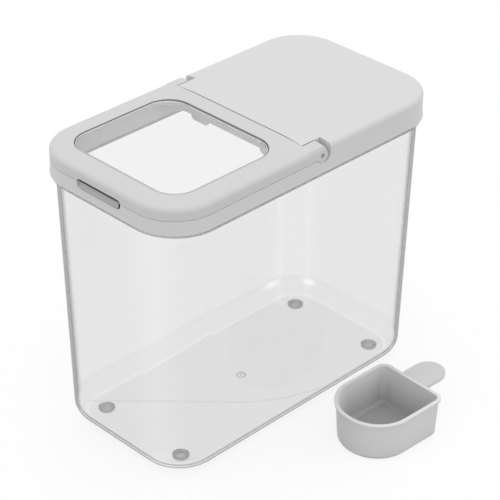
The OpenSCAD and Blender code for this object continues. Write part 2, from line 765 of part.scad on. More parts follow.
tub();
foot(0);  // foot_front_left
foot(1);  // foot_front_right
foot(2);  // foot_rear_left
foot(3);  // foot_rear_right
lid_body();
rim_seal();
flip_lid();
window_pane();
window_frame();
filler_seal();
hinge_pin(-1);  // hinge_pin_left
hinge_pin(1);  // hinge_pin_right
latch_button();
latch_spring(-1);  // latch_spring_left
latch_spring(1);  // latch_spring_right
latch_cover();
scoop();
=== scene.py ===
"""Rice bin with a flip lid and a measuring scoop, dressed for the camera.

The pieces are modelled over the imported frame, in metres: Z up, the latch faces -Y, and the long side
lies along Y.
"""

import math

import bpy
from mathutils import Matrix, Vector


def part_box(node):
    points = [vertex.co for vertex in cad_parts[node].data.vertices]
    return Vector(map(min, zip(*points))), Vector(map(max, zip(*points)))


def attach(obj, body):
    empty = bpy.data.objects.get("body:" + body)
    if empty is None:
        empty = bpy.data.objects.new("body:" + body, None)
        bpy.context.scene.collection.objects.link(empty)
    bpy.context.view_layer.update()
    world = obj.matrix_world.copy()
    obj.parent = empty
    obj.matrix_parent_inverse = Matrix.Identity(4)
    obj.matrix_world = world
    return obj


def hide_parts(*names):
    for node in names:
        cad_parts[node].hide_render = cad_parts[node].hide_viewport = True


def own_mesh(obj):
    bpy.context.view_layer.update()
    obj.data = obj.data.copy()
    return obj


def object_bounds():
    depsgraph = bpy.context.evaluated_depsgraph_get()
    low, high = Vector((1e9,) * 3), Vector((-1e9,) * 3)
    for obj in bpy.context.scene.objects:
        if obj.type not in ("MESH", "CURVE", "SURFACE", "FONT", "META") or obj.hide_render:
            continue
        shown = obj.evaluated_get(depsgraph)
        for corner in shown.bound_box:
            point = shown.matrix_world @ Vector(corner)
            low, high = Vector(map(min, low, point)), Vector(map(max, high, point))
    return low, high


bl_info = {
    "name": "Rice bin with flip lid",
    "version": (1, 0, 0),
    "blender": (4, 5, 0),
    "location": "View3D > Sidebar > Rice bin",
    "description": "Models a clear rice bin, its flip lid and its scoop, with their finishes and a studio",
    "category": "Object",
}

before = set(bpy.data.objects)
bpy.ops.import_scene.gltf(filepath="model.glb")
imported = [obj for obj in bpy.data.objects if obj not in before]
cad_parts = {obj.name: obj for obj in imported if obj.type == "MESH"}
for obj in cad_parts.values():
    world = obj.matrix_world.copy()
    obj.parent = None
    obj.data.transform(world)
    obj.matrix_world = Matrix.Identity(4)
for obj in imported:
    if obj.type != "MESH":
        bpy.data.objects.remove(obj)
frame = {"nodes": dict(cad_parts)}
CAD_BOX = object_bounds()
MM = 0.001
TOUCH = 0.01 * MM


# Selecting and shaping by hand


def deselect_all():
    """Leaves edit mode and clears the selection."""
    if bpy.context.object and bpy.context.object.mode != "OBJECT":
        bpy.ops.object.mode_set(mode="OBJECT")
    bpy.ops.object.select_all(action="DESELECT")


def activate(piece):
    """Makes one piece the only selected one."""
    deselect_all()
    piece.select_set(True)
    bpy.context.view_layer.objects.active = piece


def add_block(name, low, high):
    """A cube primitive stretched between two corners, with its place in its mesh."""
    deselect_all()
    low, high = Vector(low), Vector(high)
    bpy.ops.mesh.primitive_cube_add(size=1, location=(low + high) / 2)
    piece = bpy.context.active_object
    piece.name = piece.data.name = name
    piece.scale = high - low
    bpy.ops.object.transform_apply(location=True, rotation=True, scale=True)
    return piece


def add_round(name, centre, radius, depth, sides=48):
    """A cylinder primitive with its place in its mesh."""
    deselect_all()
    bpy.ops.mesh.primitive_cylinder_add(vertices=sides, radius=radius, depth=depth, location=centre)
    piece = bpy.context.active_object
    piece.name = piece.data.name = name
    bpy.ops.object.transform_apply(location=True, rotation=True, scale=True)
    return piece


def pick(piece, kind, test):
    """Selects the vertices, edges or faces of a piece that pass a test, and enters edit mode.

    A vertex is tested by its place, an edge by its two ends, a face by its centre and normal.
    """
    activate(piece)
    mesh = piece.data
    for parts in (mesh.vertices, mesh.edges, mesh.polygons):
        parts.foreach_set("select", [False] * len(parts))
    if kind == "VERT":
        for v in mesh.vertices:
            v.select = test(v.co)
    elif kind == "EDGE":
        for e in mesh.edges:
            e.select = test(mesh.vertices[e.vertices[0]].co, mesh.vertices[e.vertices[1]].co)
    else:
        for f in mesh.polygons:
            f.select = test(f.center, f.normal)
    bpy.context.tool_settings.mesh_select_mode = (kind == "VERT", kind == "EDGE", kind == "FACE")
    bpy.ops.object.mode_set(mode="EDIT")
    bpy.ops.mesh.select_mode(type=kind)


def done():
    """Leaves edit mode."""
    bpy.ops.object.mode_set(mode="OBJECT")


def bevel_edges(piece, test, width, segments):
    """Rounds the edges that pass a test."""
    pick(piece, "EDGE", test)
    bpy.ops.mesh.bevel(offset=width, segments=segments, profile=0.5, affect="EDGES", clamp_overlap=False)
    done()


def is_upright(a, b):
    """True for an edge that runs up a corner."""
    return abs(a.z - b.z) > 3 * max(abs(a.x - b.x), abs(a.y - b.y))


def is_level(a, b):
    """True for an edge whose ends are equally high."""
    return abs(a.z - b.z) < TOUCH


def on_ground(corner):
    """True for a vertex at height zero."""
    return corner.z < TOUCH


def at_height(z):
    """A test for edges that lie at one height."""
    return lambda a, b: abs(a.z - z) < TOUCH and abs(b.z - z) < TOUCH


def cut_loop(piece, z):
    """Adds an edge loop at one height."""
    pick(piece, "FACE", lambda c, n: True)
    bpy.ops.mesh.bisect(plane_co=(0, 0, z), plane_no=(0, 0, 1))
    done()


def apply_modifier(piece, kind, **settings):
    """Adds a modifier, sets it and applies it."""
    activate(piece)
    modifier = piece.modifiers.new(kind.title(), kind)
    for key, value in settings.items():
        setattr(modifier, key, value)
    bpy.ops.object.modifier_apply(modifier=modifier.name)
    return piece


def cut_away(piece, cutter):
    """Cuts one piece with another, which is used up."""
    apply_modifier(piece, "BOOLEAN", operation="DIFFERENCE", object=cutter, solver="EXACT")
    bpy.data.objects.remove(cutter)


def weld(piece, other):
    """Adds another piece to this one as one skin, and uses it up."""
    apply_modifier(piece, "BOOLEAN", operation="UNION", object=other, solver="EXACT")
    bpy.data.objects.remove(other)


def join(piece, other):
    """Adds another piece's mesh to this one."""
    activate(piece)
    other.select_set(True)
    bpy.ops.object.join()


def smooth(piece, degrees):
    """Shades a piece smooth, except across sharp edges, and keeps its flat faces flat."""
    activate(piece)
    bpy.ops.object.shade_smooth_by_angle(angle=math.radians(degrees))
    return apply_modifier(piece, "WEIGHTED_NORMAL", mode="FACE_AREA", weight=50, keep_sharp=True)


def softened_copy(node, name, width):
    """A merged copy of a CAD node whose sharp edges are softened as a mould leaves them."""
    source = frame["nodes"][node]
    piece = bpy.data.objects.new(name, source.data.copy())
    piece.data.name = name
    bpy.context.scene.collection.objects.link(piece)
    for key in list(piece.keys()):
        del piece[key]
    pick(piece, "FACE", lambda c, n: True)
    bpy.ops.mesh.remove_doubles(threshold=2e-6)
    bpy.ops.mesh.dissolve_limited(angle_limit=math.radians(0.4), delimit=set())
    done()
    apply_modifier(
        piece,
        "BEVEL",
        width=width,
        segments=2,
        limit_method="ANGLE",
        angle_limit=math.radians(34),
        miter_outer="MITER_ARC",
    )
    return smooth(piece, 40)


def place(piece, body, material, slot, nodes):
    """Gives a finished piece its material, its body and the nodes that it stands for."""
    piece.data.materials.clear()
    piece.data.materials.append(material)
    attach(piece, body)
    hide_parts(*nodes)


def dress_node(node, material):
    """Gives a CAD node that keeps its shape its material."""
    piece = frame["nodes"][node]
    piece.data.materials.clear()
    piece.data.materials.append(material)


# Finishes


def grey(level):
    """A neutral colour from a picture level between 0 and 255."""
    c = level / 255
    return ((c + 0.055) / 1.055) ** 2.4 if c > 0.04045 else c / 12.92


def new_group(name, inputs, outputs):
    """An empty shader node group with named sockets."""
    group = bpy.data.node_groups.new(name, "ShaderNodeTree")
    for label, kind, value in inputs:
        socket = group.interface.new_socket(name=label, in_out="INPUT", socket_type=kind)
        socket.default_value = value
    for label, kind in outputs:
        group.interface.new_socket(name=label, in_out="OUTPUT", socket_type=kind)
    start = group.nodes.new("NodeGroupInput")
    end = group.nodes.new("NodeGroupOutput")
    return group, start.outputs, end.inputs


def add_node(tree, kind, links=None, **settings):
    """A node with its settings, its input values and its input links."""
    node = tree.nodes.new(kind)
    for key, value in settings.items():
        setattr(node, key, value)
    for key, value in (links or {}).items():
        if isinstance(value, bpy.types.NodeSocket):
            tree.links.new(value, node.inputs[key])
        else:
            node.inputs[key].default_value = value
    return node


def calc(tree, operation, *values):
    """The output of a math node."""
    return add_node(tree, "ShaderNodeMath", dict(enumerate(values)), operation=operation).outputs[0]


def tinted(tree, base, share):
    """A colour times a share."""
    links = {0: base, "Scale": share}
    return add_node(tree, "ShaderNodeVectorMath", links, operation="SCALE").outputs["Vector"]


def map_range(tree, value, low, high, to_low, to_high, smooth_step=False):
    """A value carried from one range to another, held at its ends."""
    links = {"Value": value, "From Min": low, "From Max": high, "To Min": to_low, "To Max": to_high}
    kind = "SMOOTHSTEP" if smooth_step else "LINEAR"
    return add_node(tree, "ShaderNodeMapRange", links, interpolation_type=kind).outputs["Result"]


def noise(tree, place_of, scale, detail, roughness):
    """A noise texture's value."""
    links = {"Vector": place_of, "Scale": scale, "Detail": detail, "Roughness": roughness}
    return add_node(tree, "ShaderNodeTexNoise", links).outputs["Fac"]


class Term:
    """A number in a shader, which adds, multiplies and compares like any number."""

    def __init__(self, tree, value):
        self.tree = tree
        self.value = value

    def apply(self, operation, *others):
        others = [other.value if isinstance(other, Term) else other for other in others]
        return Term(self.tree, calc(self.tree, operation, self.value, *others))

    def __add__(self, other):
        return self.apply("ADD", other)

    def __sub__(self, other):
        return self.apply("SUBTRACT", other)

    def __rsub__(self, other):
        return Term(self.tree, calc(self.tree, "SUBTRACT", other, self.value))

    def __mul__(self, other):
        return self.apply("MULTIPLY", other)

    def __abs__(self):
        return self.apply("ABSOLUTE")

    def __gt__(self, other):
        return self.apply("GREATER_THAN", other)

    def __lt__(self, other):
        return self.apply("LESS_THAN", other)


def least(first, second):
    """The smaller of two terms."""
    return first.apply("MINIMUM", second)


def most(first, second):
    """The larger of two terms."""
    return first.apply("MAXIMUM", second)


def hypot(x, y):
    """How far a point lies from the origin."""
    spot = add_node(x.tree, "ShaderNodeCombineXYZ", {0: x.value, 1: y.value})
    length_of = add_node(x.tree, "ShaderNodeVectorMath", {0: spot.outputs[0]}, operation="LENGTH")
    return Term(x.tree, length_of.outputs["Value"])


def diagonals(x, y):
    """How far a point lies to the photograph's right, and how far back."""
    return (x + y) * math.sqrt(0.5), (y - x) * math.sqrt(0.5)


def ring_distance(x, y, middle, half, radius):
    """How far a point lies outside a rounded rectangle."""
    over_x = abs(x - middle[0]) - (half[0] - radius)
    over_y = abs(y - middle[1]) - (half[1] - radius)
    return hypot(most(over_x, 0.0), most(over_y, 0.0)) - radius


def coordinates(tree):
    """The X, Y and Z of the shaded point, in the shared frame."""
    place_of = add_node(tree, "ShaderNodeTexCoord").outputs["Object"]
    split = add_node(tree, "ShaderNodeSeparateXYZ", {0: place_of})
    return [Term(tree, value) for value in split.outputs]


def moulded_skin_group():
    """Moulded plastic: a fine spark-eroded grain, soft flow shades and faint handling rubs."""
    name = "Moulded skin"
    if name in bpy.data.node_groups:
        return bpy.data.node_groups[name]
    inputs = [
        ("Colour", "NodeSocketColor", (0.7, 0.7, 0.7, 1)),
        ("Shade", "NodeSocketFloat", 0.03),
        ("Grain size", "NodeSocketFloat", 1400.0),
        ("Roughness", "NodeSocketFloat", 0.4),
        ("Rub", "NodeSocketFloat", 0.06),
    ]
    outputs = [("Colour", "NodeSocketColor"), ("Roughness", "NodeSocketFloat"), ("Height", "NodeSocketFloat")]
    group, start, end = new_group(name, inputs, outputs)
    place_of = add_node(group, "ShaderNodeTexCoord").outputs["Object"]
    flow = noise(group, place_of, 9.0, 3.0, 0.5)
    speck = noise(group, place_of, 420.0, 2.0, 0.6)
    grain = noise(group, place_of, start["Grain size"], 3.0, 0.65)
    rubs = noise(group, place_of, 38.0, 5.0, 0.7)
    both = calc(group, "MULTIPLY_ADD", speck, 0.25, calc(group, "MULTIPLY", flow, 0.75))
    low = calc(group, "SUBTRACT", 1.0, start["Shade"])
    high = calc(group, "ADD", 1.0, start["Shade"])
    tone = map_range(group, both, 0.3, 0.7, low, high)
    rub = map_range(group, rubs, 0.4, 0.7, 0.0, 1.0)
    rough = calc(group, "MULTIPLY_ADD", rub, start["Rub"], start["Roughness"])
    group.links.new(tinted(group, start["Colour"], tone), end["Colour"])
    group.links.new(rough, end["Roughness"])
    group.links.new(grain, end["Height"])
    return group


def seam_shade_group():
    """Painted shade: darkens a colour where surfaces lie close together, as shade falls in a crease or a
    hollow.
    """
    name = "Seam shade"
    if name in bpy.data.node_groups:
        return bpy.data.node_groups[name]
    inputs = [
        ("Colour", "NodeSocketColor", (0.7, 0.7, 0.7, 1)),
        ("Reach", "NodeSocketFloat", 3.5 * MM),
        ("Floor", "NodeSocketFloat", 0.4),
    ]
    group, start, end = new_group(name, inputs, [("Colour", "NodeSocketColor")])
    near = add_node(group, "ShaderNodeAmbientOcclusion", {"Distance": start["Reach"]}, samples=6)
    keep = map_range(group, near.outputs["AO"], 0.08, 0.5, start["Floor"], 1.0, smooth_step=True)
    group.links.new(tinted(group, start["Colour"], keep), end["Colour"])
    return group


def dark_line_group():
    """Darkens a colour where a depth grows above zero."""
    name = "Dark line"
    if name in bpy.data.node_groups:
        return bpy.data.node_groups[name]
    inputs = [
        ("Colour", "NodeSocketColor", (0.7, 0.7, 0.7, 1)),
        ("Depth", "NodeSocketFloat", 0.0),
        ("Softness", "NodeSocketFloat", 0.1 * MM),
        ("Floor", "NodeSocketFloat", 0.2),
    ]
    group, start, end = new_group(name, inputs, [("Colour", "NodeSocketColor")])
    keep = map_range(group, start["Depth"], 0.0, start["Softness"], 1.0, start["Floor"])
    group.links.new(tinted(group, start["Colour"], keep), end["Colour"])
    return group


def darken(material, depth, softness, floor):
    """Multiplies a material's colour by floor where a depth, made from X, Y and Z, passes softness."""
    tree = material.node_tree
    base = tree.nodes["Principled BSDF"].inputs["Base Color"]
    links = {
        "Colour": base.links[0].from_socket,
        "Depth": depth(*coordinates(tree)).value,
        "Softness": softness,
        "Floor": floor,
    }
    line = add_node(tree, "ShaderNodeGroup", links, node_tree=dark_line_group())
    tree.links.new(line.outputs["Colour"], base)
    return material


def painted_glow(material, level):
    """Gives a clear plastic painted light, as a glow at a level made from X, Y and Z."""
    tree = material.node_tree
    shader = tree.nodes["Principled BSDF"]
    light = level(*coordinates(tree)).value
    tint = add_node(tree, "ShaderNodeCombineColor", dict.fromkeys(range(3), light))
    tree.links.new(tint.outputs["Color"], shader.inputs["Emission Color"])
    shader.inputs["Emission Strength"].default_value = 1.0
    return material


def skinned(name, colour, shade, grain, roughness, rub, depth, strength):
    """A material with a moulded skin and its bump, and the skin's outputs."""
    material = bpy.data.materials.new(name)
    material.use_nodes = True
    tree = material.node_tree
    links = {"Colour": (*colour, 1), "Shade": shade, "Grain size": grain, "Roughness": roughness, "Rub": rub}
    skin = add_node(tree, "ShaderNodeGroup", links, node_tree=moulded_skin_group()).outputs
    links = {"Height": skin["Height"], "Distance": depth, "Strength": strength}
    bump = add_node(tree, "ShaderNodeBump", links)
    tree.links.new(bump.outputs["Normal"], tree.nodes["Principled BSDF"].inputs["Normal"])
    return material, skin


def moulded_plastic(
    name,
    colour,
    roughness=0.42,
    shade=0.02,
    grain=1400.0,
    depth=0.02 * MM,
    rub=0.06,
    ior=1.46,
    seam_shade_floor=0.2,
    reach=3.5 * MM,
):
    """Opaque moulded plastic, with painted shade in its creases and hollows."""
    material, skin = skinned(name, colour, shade, grain, roughness, rub, depth, 0.6)
    tree = material.node_tree
    shader = tree.nodes["Principled BSDF"]
    # Painted shade: the colour darkens where surfaces lie close together.
    links = {"Colour": skin["Colour"], "Reach": reach, "Floor": seam_shade_floor}
    seam_shade_node = add_node(tree, "ShaderNodeGroup", links, node_tree=seam_shade_group())
    tree.links.new(seam_shade_node.outputs["Colour"], shader.inputs["Base Color"])
    tree.links.new(skin["Roughness"], shader.inputs["Roughness"])
    shader.inputs["IOR"].default_value = ior
    return material


def clear_plastic(name, colour, absorb, outline_shade_tone=0.02, sheen=0.08, frost_z=1.0):
    """Clear moulded plastic: tinted by its thickness, with painted shade at its outlines for dark
    reflections, and frosted above frost_z.
    """
    material, skin = skinned(name, colour, 0.004, 26.0, 0.0, 0.006, 0.002 * MM, 0.5)
    tree = material.node_tree
    shader = tree.nodes["Principled BSDF"]
    height = coordinates(tree)[2].value
    glance = add_node(tree, "ShaderNodeLayerWeight", {"Blend": 0.5}).outputs["Facing"]
    frost_top = frost_z + 0.6 * MM
    frosted_outline_shade, frosted_roughness = 0.8, 0.6
    floor_start, wall_start, outline_end = 0.49, 0.56, 0.82
    # Painted shade: the colour darkens where the surface turns away from the view, less on the frosted bead.
    outline_shade = map_range(tree, height, frost_z, frost_top, outline_shade_tone, frosted_outline_shade)
    outline_start = map_range(tree, height, 0.0, 20 * MM, floor_start, wall_start)
    edge = map_range(tree, glance, outline_start, outline_end, 1.0, outline_shade, smooth_step=True)
    frost = map_range(tree, height, frost_z, frost_top, 0.0, frosted_roughness)
    rough = calc(tree, "MAXIMUM", frost, skin["Roughness"])
    tree.links.new(tinted(tree, skin["Colour"], edge), shader.inputs["Base Color"])
    tree.links.new(rough, shader.inputs["Roughness"])
    shader.inputs["Specular Tint"].default_value = (sheen, sheen, sheen, 1)
    shader.inputs["Transmission Weight"].default_value = 1.0
    shader.inputs["IOR"].default_value = 1.45
    tint = add_node(tree, "ShaderNodeVolumeAbsorption", {"Color": (0.0, 0.0, 0.0, 1), "Density": absorb})
    tree.links.new(tint.outputs["Volume"], tree.nodes["Material Output"].inputs["Volume"])
    return material


def clouded_silicone(name, colour):
    """Soft clouded silicone that lets part of the light through."""
    material = moulded_plastic(name, colour, roughness=0.45, shade=0.04, depth=0.04 * MM, seam_shade_floor=1.0, ior=1.41)
    material.node_tree.nodes["Principled BSDF"].inputs["Transmission Weight"].default_value = 0.88
    return material


def drawn_steel(name, colour):
    """Drawn steel wire and pins."""
    fine = 0.01 * MM
    material = moulded_plastic(name, colour, roughness=0.3, shade=0.05, grain=2600.0, depth=fine, rub=0.12)
    material.node_tree.nodes["Principled BSDF"].inputs["Metallic"].default_value = 1.0
    return material


def flip_plastic(name, colour):
    """The flip lid's plastic, with painted shadow lines along the gap to the rear deck and round the window.
    """
    joint_y, joint_half = -4.3 * MM, 77.9 * MM
    hole_middle, hole_half, hole_radius = (0, -82.7 * MM), (69 * MM, 61.3 * MM), 23.8 * MM
    line = 0.6 * MM

    def joint_shadow(x, y, z):
        return least(joint_half - abs(x), y - joint_y)

    def window_edge_shadow(x, y, z):
        return line - ring_distance(x, y, hole_middle, hole_half, hole_radius)

    material = moulded_plastic(name, colour, roughness=0.4, seam_shade_floor=0.9)
    # Painted shadow: dark lines where the gaps to the deck and round the window are in shade.
    darken(material, joint_shadow, 0.1 * MM, 0.15)
    return darken(material, window_edge_shadow, 0.3 * MM, 0.5)


def frame_plastic(name, colour):
    """The window frame's plastic, greyer at the rim round the pane."""
    rim_z = 277.5 * MM
    material = moulded_plastic(name, colour, roughness=0.45, seam_shade_floor=0.85)
    return darken(material, lambda x, y, z: z - rim_z, 0.5 * MM, 0.6)


def button_plastic(name, colour):
    """The latch button's plastic, with the slot's shadow along its top and its end."""
    top_z, end_x = 269.1 * MM, 25.7 * MM
    material = moulded_plastic(name, colour, roughness=0.38)
    return darken(material, lambda x, y, z: most(z - top_z, x - end_x), 0.3 * MM, 0.12)


def scoop_plastic(name, colour):
    """The scoop's plastic, with painted shade down in the cup and a painted highlight along its rim."""
    size = bpy.context.scene.ricebin_scoop
    half, turn = size.width / 2, math.sin(size.turn)
    mid_wall = size.draft + size.wall / 2
    shade_z = 36 * MM
    rim_z = size.place[2] + size.height - 1.3 * MM
    rim_back_y = size.place[1] + 1 * MM

    # Painted shade: darker towards the bottom of the cup's hollow.
    def cup_shade(x, y, z):
        x, y = x - size.place[0], y - size.place[1]
        across, along = x + y * turn, y - x * turn
        from_arc = half - mid_wall - hypot(across, least(along + (size.depth - half), 0.0))
        within = least(from_arc, -mid_wall - along) + z * (size.draft / size.height)
        return (within > 0.0) * (shade_z - z)

    # Painted highlight: the colour is lifted along the rim.
    def rim(x, y, z):
        return least(z - rim_z, rim_back_y - y)

    material = moulded_plastic(name, colour, roughness=0.34, shade=0.015, seam_shade_floor=0.5, reach=50 * MM)
    darken(material, cup_shade, shade_z, 0.62)
    return darken(material, rim, 0.8 * MM, 1.2)


def tub_plastic(name, colour, absorb):
    """The tub's clear plastic: a darker floor panel and band, a painted reflection of the base's edge and a
    gate mark in the floor, a frosted bead, and painted light.
    """
    panel = (0, 0), (66.5 * MM, 142.5 * MM), 26 * MM
    floor_top = 3 * MM
    line_depth, line_half, line_bend = -42.5 * MM, 0.7 * MM, 4.3
    gate_radius, gate_half, dimple_radius = 3.8 * MM, 0.8 * MM, 1 * MM

    def floor_panel(x, y, z):
        return least(ring_distance(x, y, *panel) * -1.0, 4 * MM - z)

    def floor_edge(x, y, z):
        return least(ring_distance(x, y, *panel) - 1.6 * MM, 20 * MM - z)

    # Painted reflection: a dark arc line in the floor for the reflection of the base's edge.
    def edge_reflection_line(x, y, z):
        right, back = diagonals(x, y)
        bend = most(right, 0.0)
        from_line = abs(back - line_depth - bend * bend * line_bend)
        return least(line_half - from_line, floor_top - z)

    def gate_mark(x, y, z):
        far = hypot(x, y)
        ring = gate_half - abs(far - gate_radius)
        return least(most(ring, dimple_radius - far), floor_top - z)

    material = clear_plastic(name, colour, absorb, frost_z=250.3 * MM)
    darken(material, floor_panel, 1.2 * MM, 0.915)
    darken(material, floor_edge, 4 * MM, 0.95)
    darken(material, edge_reflection_line, 0.5 * MM, 0.76)
    darken(material, gate_mark, 0.4 * MM, 0.6)
    # Painted light: glow for reflections in the corners and the roll, and on the bead.
    return painted_glow(material, tub_painted_light)


def tub_painted_light(x, y, z):
    """Painted light on the tub as glow: painted reflections down its front and rear corners and in the rear
    roll, and a painted glow along the bead.
    """
    right, back = diagonals(x, y)
    corner_back = 120 * MM

    def band(value, middle, half, level):
        near = abs(value - middle * MM).value
        return Term(x.tree, map_range(x.tree, near, 0.0, half * MM, level, 0.0, smooth_step=True))

    front = band(right, -70, 28, 0.017) * (back < -corner_back)
    rear = band(right, 37, 6, 0.02) + band(right, 65, 6, 0.015)
    roll = band(z, 12, 5, 1.0) * (band(right, 29, 11, 0.12) + band(right, 67, 10, 0.12))
    bead = band(z, 252.1, 0.8, 0.38)
    return front + (rear + roll) * (back > corner_back) + bead


def finish(key):
    """A finish by name, made once."""
    if key in bpy.data.materials:
        return bpy.data.materials[key]
    tones = bpy.context.scene.ricebin_finishes
    pale = {"outline_shade_tone": 0.92, "sheen": 0.9}
    makers = {
        "Lid plastic": lambda: moulded_plastic(key, tones.lid, roughness=0.4, seam_shade_floor=0.3),
        "Flip lid plastic": lambda: flip_plastic(key, tones.flip),
        "Frame plastic": lambda: frame_plastic(key, tones.frame),
        "Tub plastic": lambda: tub_plastic(key, tones.tub, tones.tub_absorb),
        "Window plastic": lambda: clear_plastic(key, tones.window, tones.window_absorb, **pale),
        "Foot rubber": lambda: clouded_silicone(key, tones.foot),
        "Seal rubber": lambda: moulded_plastic(key, tones.seal, roughness=0.55),
        "Button plastic": lambda: button_plastic(key, tones.button),
        "Scoop plastic": lambda: scoop_plastic(key, tones.scoop),
        "Drawn steel": lambda: drawn_steel(key, (0.45, 0.45, 0.46)),
    }
    return makers[key]()


# Sizes and colours that a user would change


def length_field(name, description, millimetres):
    """A length that a user can set."""
    return bpy.props.FloatProperty(
        name=name, description=description, default=millimetres * MM, unit="LENGTH"
    )


def angle_field(name, description, degrees):
    """An angle that a user can set."""
    return bpy.props.FloatProperty(
        name=name, description=description, default=math.radians(degrees), unit="ROTATION"
    )


def colour_field(name, description, value):
    """A neutral colour that a user can set."""
    return bpy.props.FloatVectorProperty(
        name=name, description=description, subtype="COLOR", size=3, default=(value,) * 3
    )


def number_field(name, description, value):
    """A plain number that a user can set."""
    return bpy.props.FloatProperty(name=name, description=description, default=value)


def place_field(name, description, value):
    """A place that a user can set."""
    return bpy.props.FloatVectorProperty(
        name=name, description=description, subtype="TRANSLATION", size=3, default=value
    )


class FinishColours(bpy.types.PropertyGroup):
    """Colours of the plastics."""

    lid: colour_field("Lid", "Colour of the lid's plastic", grey(212))
    flip: colour_field("Flip lid", "Colour of the flip lid's plastic", grey(205))
    frame: colour_field("Frame", "Colour of the window frame", grey(243))
    tub: colour_field("Tub", "Tint of the tub's surface", 0.995)
    tub_absorb: number_field("Tub depth", "How fast the tub darkens as it thickens, per metre", 42)
    window: colour_field("Window", "Tint of the window's surface", 0.99)
    window_absorb: number_field("Window depth", "How fast the window darkens as it thickens, per metre", 6)
    foot: colour_field("Feet", "Colour of the feet", grey(240))
    seal: colour_field("Seals", "Colour of the soft seals", grey(225))
    button: colour_field("Button", "Colour of the latch button", grey(176))
    scoop: colour_field("Scoop", "Colour of the scoop", grey(217))


class TubSizes(bpy.types.PropertyGroup):
    """Sizes of the clear tub."""

    wall: length_field("Wall", "Thickness of the tub's wall", 2.2)
    draft: length_field("Draft", "How far each wall leans in at the floor", 4.9)
    corner: length_field("Corner", "Radius of the upright corners", 41.6)
    foot_round: length_field("Lower edge", "Radius of the lower edge", 16.0)
    seat: length_field("Bead seat", "Distance from the wall to the edge of the packed tub", 2)
    bead: length_field("Bead", "How far the bead under the lid stands out", 3.2)
    bead_height: length_field("Bead height", "Height of the bead", 2.4)
    rim_height: length_field("Rim height", "Height of the rim above the bead", 3.4)


class WindowSizes(bpy.types.PropertyGroup):
    """Sizes of the clear window."""

    corner: length_field("Corner", "Radius of the rim's corners", 23.3)
    flange: length_field("Flange", "Distance from the packed pane's edge to the rim", 5.6)
    rise: length_field("Rise", "How far the rim rises into its hole", 2.9)
    rim: length_field("Rim", "Thickness of the rim round the pane", 1.2)
    thickness: length_field("Thickness", "Thickness of the pane", 2.0)
    gap: length_field("Gap", "Gap round the pane", 0.12)


class LatchSizes(bpy.types.PropertyGroup):
    """Sizes of the latch button's finger groove."""

    middle: length_field("Middle", "Height of the middle of the bar", 266.3)
    groove_length: length_field("Groove length", "Length of the finger groove", 49.5)
    groove_height: length_field("Groove height", "Height of the finger groove", 6.4)
    groove_depth: length_field("Groove depth", "Depth of the finger groove", 1.5)
    travel: length_field("Travel", "How far the button goes in", 2.5)


class ScoopSizes(bpy.types.PropertyGroup):
    """Sizes and place of the scoop."""

    width: length_field("Width", "Width of the cup", 73)
    depth: length_field("Depth", "Depth of the cup", 83)
    height: length_field("Height", "Height of the cup", 41)
    wall: length_field("Wall", "Wall of the cup", 1.6)
    draft: length_field("Draft", "How far the wall leans in at the floor", 1.6)
    back_corner: length_field("Back corner", "Radius of the two back corners", 7.5)
    foot_round: length_field("Lower edge", "Radius of the lower edge", 5)
    lip: length_field("Lip", "How far the rim's lip stands out", 1.6)
    lip_height: length_field("Lip height", "Height of the rim's lip", 2)
    handle: length_field("Handle", "Length of the handle behind the cup", 36)
    handle_width: length_field("Handle width", "Width of the handle", 30)
    handle_thickness: length_field("Handle thickness", "Thickness of the handle", 3.6)
    place: place_field("Place", "Middle of the cup's back on the floor", (0.1535, 0.069, -0.0012))
    turn: angle_field("Turn", "How far the scoop is turned", -2)


class StageSettings(bpy.types.PropertyGroup):
    """Camera and light."""

    camera_place: place_field("Camera", "Place of the camera", (1.0775, -1.0637, 1.0863))
    azimuth: angle_field("Azimuth", "Direction of the camera round the bin", 45.05)
    elevation: angle_field("Elevation", "Height of the camera above the level", 32.0)
    roll: angle_field("Roll", "Roll of the camera", 0.39)
    lens: number_field("Lens", "Focal length in millimetres", 141.8)
    sky: number_field("Sky", "Strength of the light from above", 1.2)
    side: number_field("Side", "Strength of the light from the sides", 0.72)
    bounce: number_field("Bounce", "Share of the light that the floor gives back", 0.6)


# Pieces


FEET = ("foot_front_left", "foot_front_right", "foot_rear_left", "foot_rear_right")


